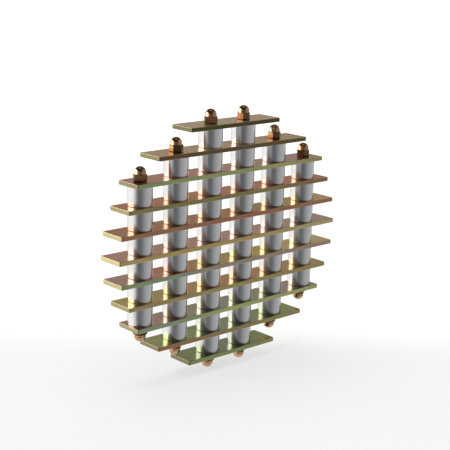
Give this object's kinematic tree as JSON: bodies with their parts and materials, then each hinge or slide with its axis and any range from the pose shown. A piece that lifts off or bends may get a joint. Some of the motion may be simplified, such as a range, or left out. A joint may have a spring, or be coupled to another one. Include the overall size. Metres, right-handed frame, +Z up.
{
  "type": "round stacked-bar trivet",
  "caption": "Round open trivet of flat chromated steel bars held apart by round spacers on tie rods, with a domed cap nut at each rod end.",
  "frame": {"origin": "centre of the middle bar, which is the centre of the whole part", "axes": "+X along the bars, +Z up along the tie rods, -Y towards the front; the part is thinnest along Y"},
  "size_m": [0.232, 0.025, 0.2162],
  "materials": {
    "chromated_bar": "zinc plated with yellow chromate, semi-gloss, with a rainbow film that changes colour from bar to bar",
    "spacer": "bright turned aluminium, satin to mirror",
    "cap_nut": "polished, warm copper-brown",
    "tie_rod": "plain threaded steel"
  },
  "bodies": {
    "root": {"bar_01": "chromated_bar", "bar_02": "chromated_bar", "bar_03": "chromated_bar", "bar_04": "chromated_bar", "bar_05": "chromated_bar", "bar_06": "chromated_bar", "bar_07": "chromated_bar", "bar_08": "chromated_bar", "bar_09": "chromated_bar", "bar_10": "chromated_bar", "bar_11": "chromated_bar", "cap_nut_bottom_1": "cap_nut", "cap_nut_bottom_2": "cap_nut", "cap_nut_bottom_3": "cap_nut", "cap_nut_bottom_4": "cap_nut", "cap_nut_bottom_5": "cap_nut", "cap_nut_bottom_6": "cap_nut", "cap_nut_top_1": "cap_nut", "cap_nut_top_2": "cap_nut", "cap_nut_top_3": "cap_nut", "cap_nut_top_4": "cap_nut", "cap_nut_top_5": "cap_nut", "cap_nut_top_6": "cap_nut", "spacers_rod_1_bar_04": "spacer", "spacers_rod_1_bar_06": "spacer", "spacers_rod_1_bar_08": "spacer", "spacers_rod_2_bar_03": "spacer", "spacers_rod_2_bar_05": "spacer", "spacers_rod_2_bar_07": "spacer", "spacers_rod_2_bar_09": "spacer", "spacers_rod_3_bar_02": "spacer", "spacers_rod_3_bar_04": "spacer", "spacers_rod_3_bar_06": "spacer", "spacers_rod_3_bar_08": "spacer", "spacers_rod_3_bar_10": "spacer", "spacers_rod_4_bar_02": "spacer", "spacers_rod_4_bar_04": "spacer", "spacers_rod_4_bar_06": "spacer", "spacers_rod_4_bar_08": "spacer", "spacers_rod_4_bar_10": "spacer", "spacers_rod_5_bar_03": "spacer", "spacers_rod_5_bar_05": "spacer", "spacers_rod_5_bar_07": "spacer", "spacers_rod_5_bar_09": "spacer", "spacers_rod_6_bar_04": "spacer", "spacers_rod_6_bar_06": "spacer", "spacers_rod_6_bar_08": "spacer", "tie_rod_1": "tie_rod", "tie_rod_2": "tie_rod", "tie_rod_3": "tie_rod", "tie_rod_4": "tie_rod", "tie_rod_5": "tie_rod", "tie_rod_6": "tie_rod"}
  },
  "joints": []
}
